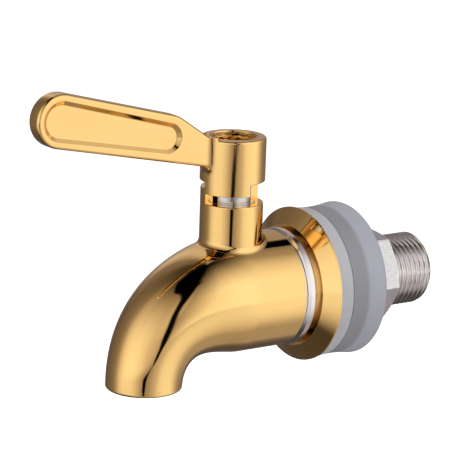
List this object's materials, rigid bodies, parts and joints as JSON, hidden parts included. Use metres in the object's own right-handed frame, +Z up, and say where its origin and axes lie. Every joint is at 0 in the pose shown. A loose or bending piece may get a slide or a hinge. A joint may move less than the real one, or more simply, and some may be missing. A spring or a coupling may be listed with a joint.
{
  "type": "beverage dispenser spigot",
  "caption": "Gold-coloured quarter-turn ball spigot with a bent tapering spout, a flat paddle lever on a stop collar, a cone flange, soft washers and a hexagon nut on its threaded shank.",
  "frame": {"origin": "on the shank's axis, in the plane where the outer washer meets the vessel's wall", "axes": "+X along the shank towards the inside of the vessel, +Z up, the spout points to -X"},
  "size_m": [0.103, 0.0354, 0.0682],
  "materials": {
    "gold_coated_steel": "mirror polished, gold-coloured vapour-deposited coating on cast stainless steel",
    "turned_steel": "turned stainless steel, bright",
    "cast_steel": "cast stainless steel, lightly polished",
    "light_silicone": "moulded silicone, satin",
    "grey_silicone": "moulded silicone, satin",
    "white_fluoroplastic": "turned PTFE, waxy",
    "black_rubber": "moulded rubber"
  },
  "bodies": {
    "root": {"spout_body": "gold_coated_steel", "front_seat": "white_fluoroplastic", "rear_seat": "white_fluoroplastic", "stem_packing_lower": "white_fluoroplastic", "stem_packing_upper": "white_fluoroplastic", "gland_nut": "turned_steel", "tail_piece": "turned_steel", "tail_o_ring": "black_rubber", "flange": "gold_coated_steel", "outer_washer": "light_silicone"},
    "lever_stem": {"lever": "gold_coated_steel", "lever_washer": "turned_steel", "lever_screw": "turned_steel", "stem": "turned_steel", "thrust_washer": "white_fluoroplastic", "stem_o_ring_lower": "black_rubber", "stem_o_ring_upper": "black_rubber", "valve_ball": "turned_steel"},
    "washer": {"inner_washer": "grey_silicone"},
    "nut": {"mounting_nut": "cast_steel"}
  },
  "joints": [
    {"name": "lever_turn", "type": "hinge", "parent": "root", "child": "lever_stem", "pos_m": [-0.0225, 0, 0], "axis": [0, 0, 1], "range_deg": [0, 90]},
    {"name": "washer_travel", "type": "slide", "parent": "root", "child": "washer", "axis": [1, 0, 0], "range_m": [0, 0.0094]},
    {"name": "nut_spin", "type": "hinge", "parent": "washer", "child": "nut", "pos_m": [0, 0, 0], "axis": [1, 0, 0], "range_deg": [0, 2520]}
  ],
  "couplings": [
    {"joint": "washer_travel", "follows": "nut_spin", "m_per_rad": 0.00021279}
  ]
}
